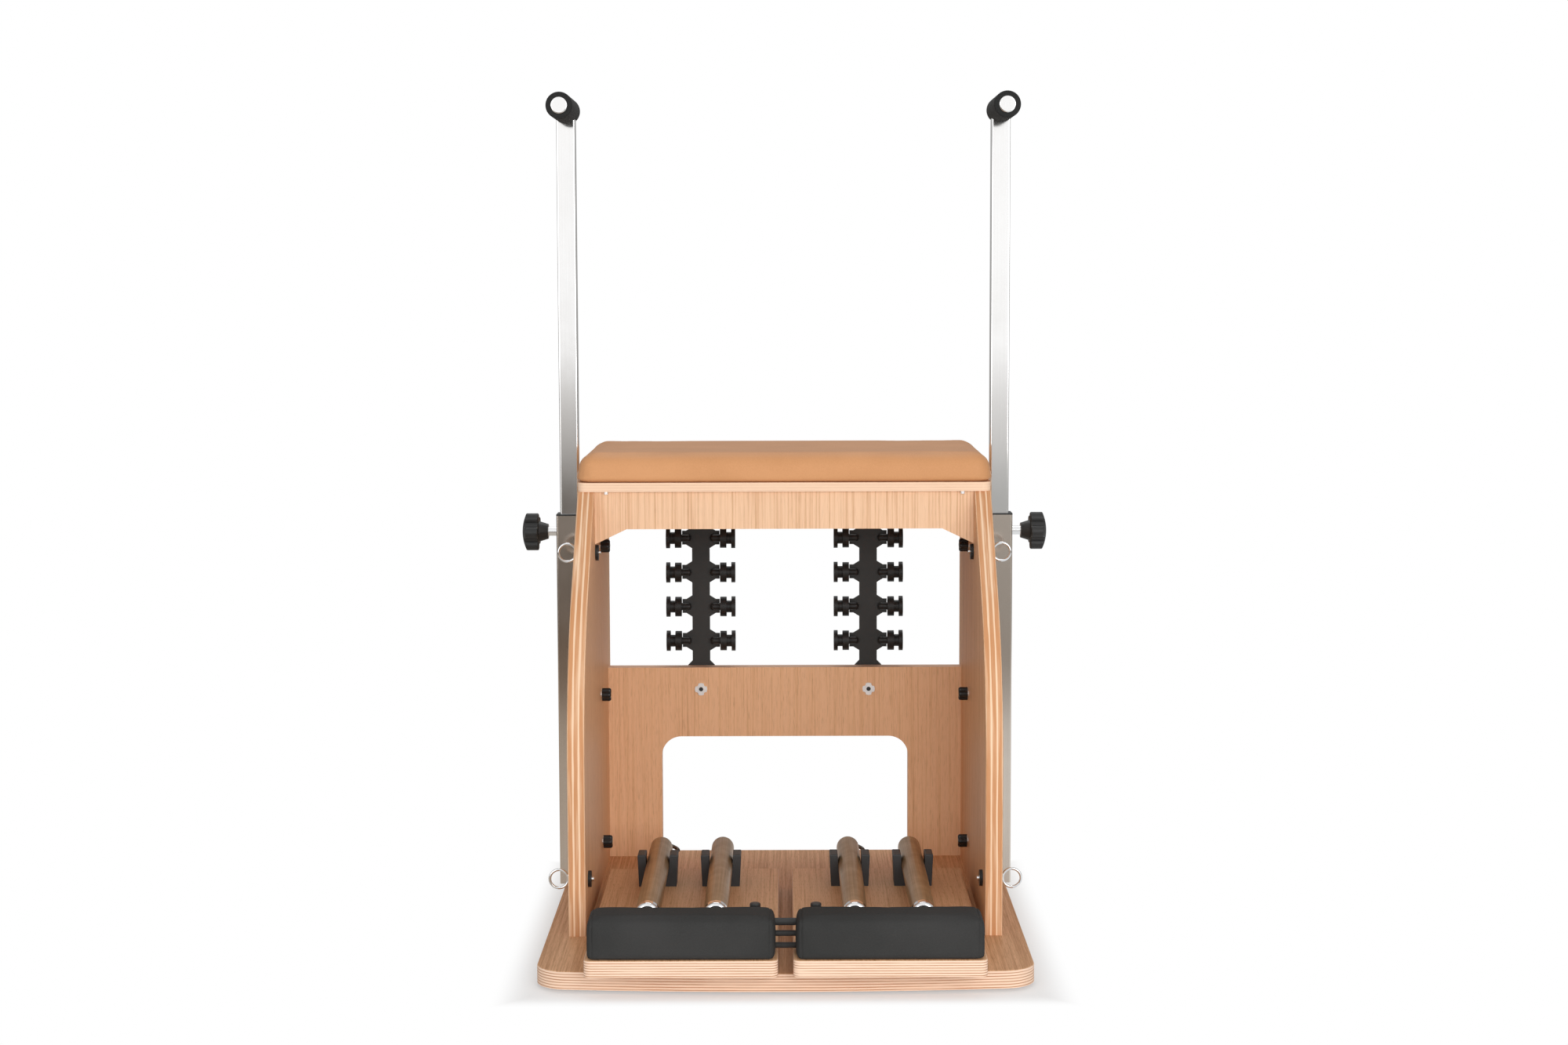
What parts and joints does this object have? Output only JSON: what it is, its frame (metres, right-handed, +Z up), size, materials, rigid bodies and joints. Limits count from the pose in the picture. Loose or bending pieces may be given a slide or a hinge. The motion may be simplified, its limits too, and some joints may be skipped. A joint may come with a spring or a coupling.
{
  "type": "pilates chair",
  "caption": "Split-pedal pilates chair: plywood box frame with padded seat, hinged sprung pedals, spring trees and clamp-adjusted handles on side posts.",
  "frame": {"origin": "centre of the overall box, on the floor under the feet", "axes": "+Z up, front with the pedals towards -Y, +X to the right in a front view"},
  "size_m": [0.709, 0.712, 1.0895],
  "materials": {
    "oak_plywood": "clear satin lacquer over oak veneer, layered ply edges",
    "tan_leather": "soft tan upholstery leather",
    "black_vinyl": "matt black upholstery vinyl",
    "brushed_stainless": "fine lengthwise brushing",
    "bright_chrome": "bright plating",
    "black_steel": "satin black powder coat",
    "black_plastic": "moulded, fine texture",
    "black_foam": "dense closed-cell foam",
    "black_rubber": "plain rubber",
    "bronze_sheath": "smooth bronze-brown tube with a soft sheen",
    "spring_steel": "dark oiled spring wire"
  },
  "bodies": {
    "frame": {"base_plate": "oak_plywood", "base_feet": "black_rubber", "left_side_panel": "oak_plywood", "right_side_panel": "oak_plywood", "front_rail": "oak_plywood", "rear_rail": "oak_plywood", "rear_panel": "oak_plywood", "seat_board": "oak_plywood", "seat_cushion": "tan_leather", "seat_screws": "bright_chrome", "left_sleeve": "brushed_stainless", "right_sleeve": "brushed_stainless", "left_sleeve_bush": "black_plastic", "right_sleeve_bush": "black_plastic", "sleeve_hand_nuts": "black_plastic", "left_eye_bolts": "bright_chrome", "right_eye_bolts": "bright_chrome", "eye_bolt_nuts": "black_plastic", "left_spring_tree": "black_steel", "right_spring_tree": "black_steel", "tree_pegs": "black_plastic", "peg_flanges": "black_plastic", "tree_bolts": "black_steel", "tree_t_nuts": "bright_chrome", "left_hinge_base_leaf": "black_steel", "right_hinge_base_leaf": "black_steel", "hinge_pins": "bright_chrome", "pedal_bumpers": "black_rubber"},
    "left_pedal": {"left_pedal_board": "oak_plywood", "left_pedal_pad": "black_vinyl", "left_hinge_pedal_leaf": "black_steel", "left_spring_clips": "black_plastic", "left_spring_lugs": "black_steel"},
    "left_handle": {"left_post": "brushed_stainless", "left_grip": "black_foam", "left_post_glide": "black_plastic"},
    "left_knob": {"left_clamp_knob": "black_plastic"},
    "left_coupling": {"left_coupler": "black_steel"},
    "right_pedal": {"right_pedal_board": "oak_plywood", "right_pedal_pad": "black_vinyl", "right_hinge_pedal_leaf": "black_steel", "right_spring_clips": "black_plastic", "right_spring_lugs": "black_steel"},
    "right_handle": {"right_post": "brushed_stainless", "right_grip": "black_foam", "right_post_glide": "black_plastic"},
    "right_knob": {"right_clamp_knob": "black_plastic"},
    "right_coupling": {"right_coupler": "black_steel"},
    "left_outer_spring": {"left_outer_spring_cap": "bright_chrome", "left_outer_spring_cover": "bronze_sheath", "left_outer_spring_coil": "spring_steel"},
    "left_inner_spring": {"left_inner_spring_cap": "bright_chrome", "left_inner_spring_cover": "bronze_sheath", "left_inner_spring_coil": "spring_steel"},
    "right_inner_spring": {"right_inner_spring_cap": "bright_chrome", "right_inner_spring_cover": "bronze_sheath", "right_inner_spring_coil": "spring_steel"},
    "right_outer_spring": {"right_outer_spring_cap": "bright_chrome", "right_outer_spring_cover": "bronze_sheath", "right_outer_spring_coil": "spring_steel"}
  },
  "joints": [
    {"name": "left_pedal_hinge", "type": "hinge", "parent": "frame", "child": "left_pedal", "pos_m": [0, 0.122, 0.03], "axis": [-1, 0, 0], "range_deg": [0, 40]},
    {"name": "right_pedal_hinge", "type": "hinge", "parent": "frame", "child": "right_pedal", "pos_m": [0, 0.122, 0.03], "axis": [-1, 0, 0], "range_deg": [0, 40]},
    {"name": "left_outer_spring_swing", "type": "hinge", "parent": "left_pedal", "child": "left_outer_spring", "pos_m": [-0.1675, -0.261, 0.081], "axis": [1, 0, 0], "range_deg": [0, 60]},
    {"name": "left_inner_spring_swing", "type": "hinge", "parent": "left_pedal", "child": "left_inner_spring", "pos_m": [-0.0845, -0.261, 0.081], "axis": [1, 0, 0], "range_deg": [0, 60]},
    {"name": "right_inner_spring_swing", "type": "hinge", "parent": "right_pedal", "child": "right_inner_spring", "pos_m": [0.0845, -0.261, 0.081], "axis": [1, 0, 0], "range_deg": [0, 60]},
    {"name": "right_outer_spring_swing", "type": "hinge", "parent": "right_pedal", "child": "right_outer_spring", "pos_m": [0.1675, -0.261, 0.081], "axis": [1, 0, 0], "range_deg": [0, 60]},
    {"name": "left_handle_slide", "type": "slide", "parent": "frame", "child": "left_handle", "axis": [0, 0, 1], "range_m": [-0.14, 0.25]},
    {"name": "left_knob_turn", "type": "hinge", "parent": "frame", "child": "left_knob", "pos_m": [-0.33, 0.167, 0.508], "axis": [1, 0, 0], "continuous": true},
    {"name": "left_coupler_draw", "type": "slide", "parent": "left_pedal", "child": "left_coupling", "axis": [-1, 0, 0], "range_m": [0, 0.028]},
    {"name": "right_handle_slide", "type": "slide", "parent": "frame", "child": "right_handle", "axis": [0, 0, 1], "range_m": [-0.14, 0.25]},
    {"name": "right_knob_turn", "type": "hinge", "parent": "frame", "child": "right_knob", "pos_m": [0.33, 0.167, 0.508], "axis": [1, 0, 0], "continuous": true},
    {"name": "right_coupler_draw", "type": "slide", "parent": "right_pedal", "child": "right_coupling", "axis": [1, 0, 0], "range_m": [0, 0.028]}
  ],
  "couplings": [
    {"joint": "right_pedal_hinge", "follows": "left_pedal_hinge", "ratio": 1}
  ]
}
